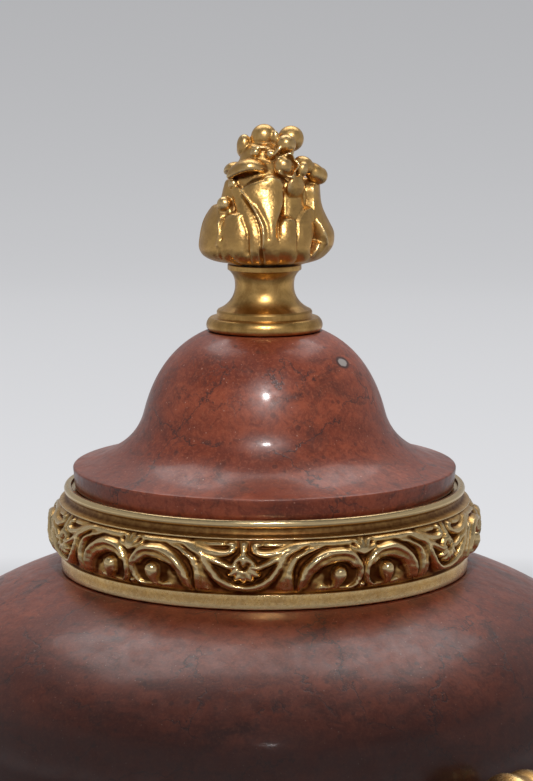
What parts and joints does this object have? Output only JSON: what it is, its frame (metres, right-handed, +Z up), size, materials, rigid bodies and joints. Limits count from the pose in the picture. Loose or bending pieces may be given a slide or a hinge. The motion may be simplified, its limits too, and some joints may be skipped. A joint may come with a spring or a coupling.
{
  "type": "mantel urn",
  "caption": "Covered ovoid marble urn on a square plinth, with a lift-off domed lid, leafy bouquet finial, scroll handles and gilt-bronze mounts.",
  "frame": {"origin": "centre of the plinth's underside, on the surface that the urn stands on", "axes": "+Z up the urn's axis to the finial, X through the two handles"},
  "size_m": [0.2246, 0.168, 0.3279],
  "materials": {
    "marble": "polished red griotte marble with fine dark cracks and pale specks, lightly dusty",
    "gilt_bronze": "cast and chased bronze, fire gilt, burnished on the high parts and dull brown in the recesses"
  },
  "bodies": {
    "root": {"plinth_base": "gilt_bronze", "plinth": "marble", "foot_ring": "gilt_bronze", "foot": "marble", "stem_knop": "gilt_bronze", "leaf_cup": "gilt_bronze", "vase_body": "marble", "handle_right": "gilt_bronze", "handle_left": "gilt_bronze", "collar": "gilt_bronze", "lid": "marble", "finial_socle": "gilt_bronze", "finial_bouquet": "gilt_bronze"}
  },
  "joints": []
}
